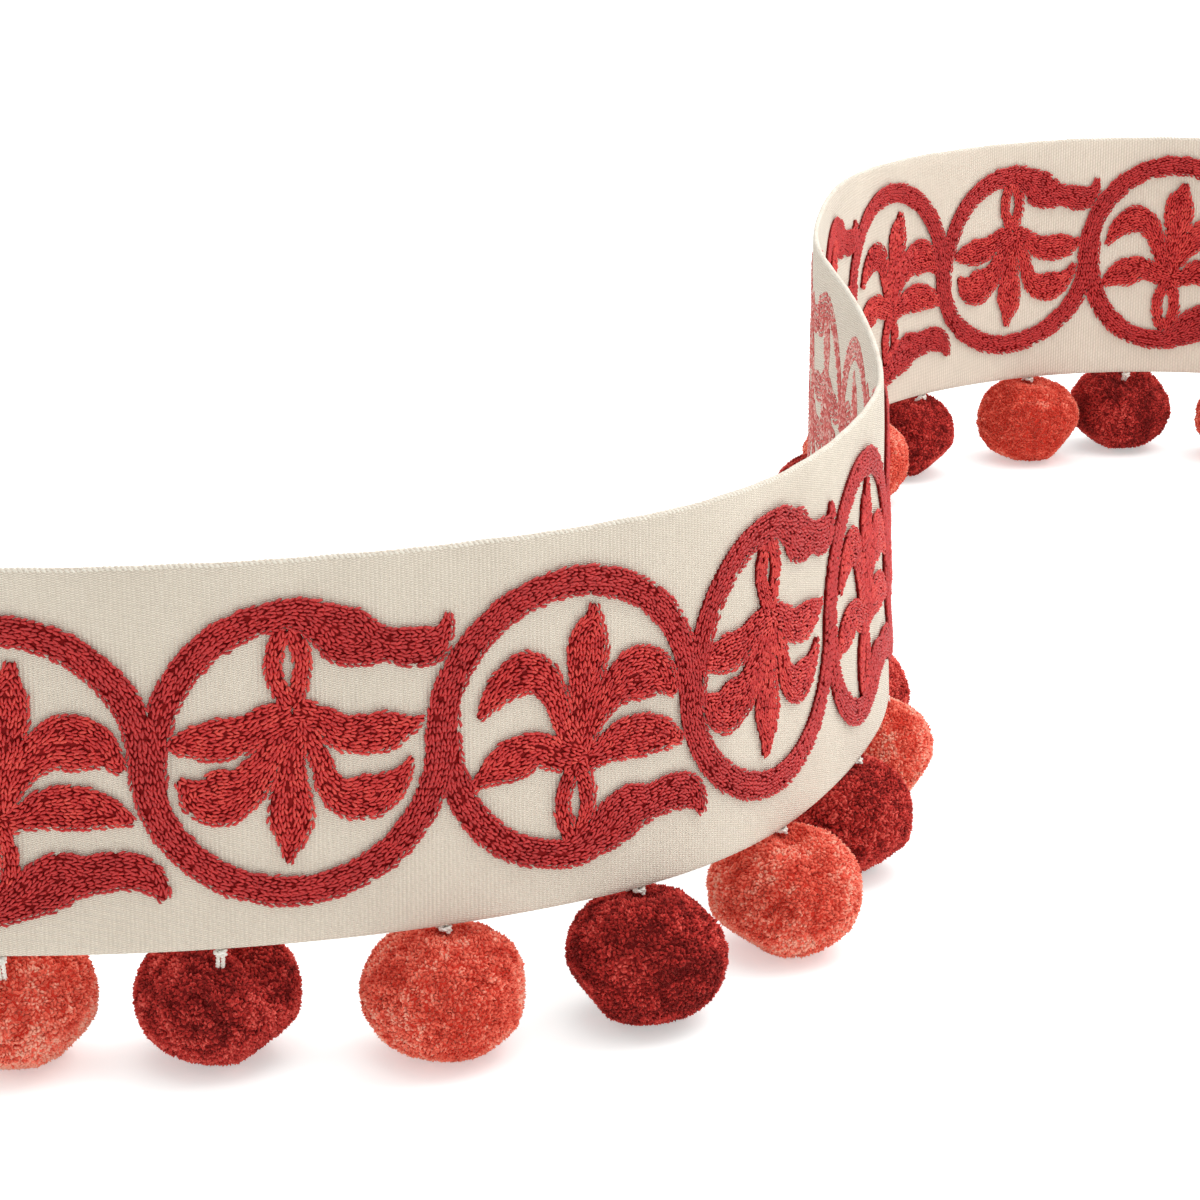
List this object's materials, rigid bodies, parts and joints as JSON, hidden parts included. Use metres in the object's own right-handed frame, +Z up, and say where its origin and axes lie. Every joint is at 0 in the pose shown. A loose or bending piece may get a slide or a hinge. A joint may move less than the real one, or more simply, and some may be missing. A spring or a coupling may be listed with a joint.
{
  "type": "embroidered pompom tape trim",
  "caption": "Ribbed fabric tape trim with a raised embroidered leaf scroll, standing on edge in an S curve on a row of soft pompoms that hang from its lower edge by cord loops.",
  "frame": {"origin": "centre of the S curve's outer box, on the surface that the pompoms stand on", "axes": "+Z up, across the tape's width; +Y from the near run to the far run; the embroidered face of the near run looks towards -Y and the far run ends towards +X"},
  "size_m": [0.3826, 0.5221, 0.103],
  "materials": {
    "tape_cloth": "ecru ribbed cotton weave with a fine woven selvedge",
    "red_thread": "plump red chain stitches with a soft sheen",
    "coral_yarn": "dense cut pile, light coral",
    "crimson_yarn": "dense cut pile, dark crimson",
    "white_cord": "white twisted cotton cord"
  },
  "bodies": {
    "root": {"tape": "tape_cloth", "embroidery": "red_thread", "pompom_01": "coral_yarn", "pompom_02": "crimson_yarn", "pompom_03": "coral_yarn", "pompom_04": "crimson_yarn", "pompom_05": "coral_yarn", "pompom_06": "crimson_yarn", "pompom_07": "coral_yarn", "pompom_08": "crimson_yarn", "pompom_09": "coral_yarn", "pompom_10": "crimson_yarn", "pompom_11": "coral_yarn", "pompom_12": "crimson_yarn", "pompom_13": "coral_yarn", "pompom_14": "crimson_yarn", "pompom_15": "coral_yarn", "pompom_16": "crimson_yarn", "pompom_17": "coral_yarn", "loop_01": "white_cord", "loop_02": "white_cord", "loop_03": "white_cord", "loop_04": "white_cord", "loop_05": "white_cord", "loop_06": "white_cord", "loop_07": "white_cord", "loop_08": "white_cord", "loop_09": "white_cord", "loop_10": "white_cord", "loop_11": "white_cord", "loop_12": "white_cord", "loop_13": "white_cord", "loop_14": "white_cord", "loop_15": "white_cord", "loop_16": "white_cord", "loop_17": "white_cord"}
  },
  "joints": []
}
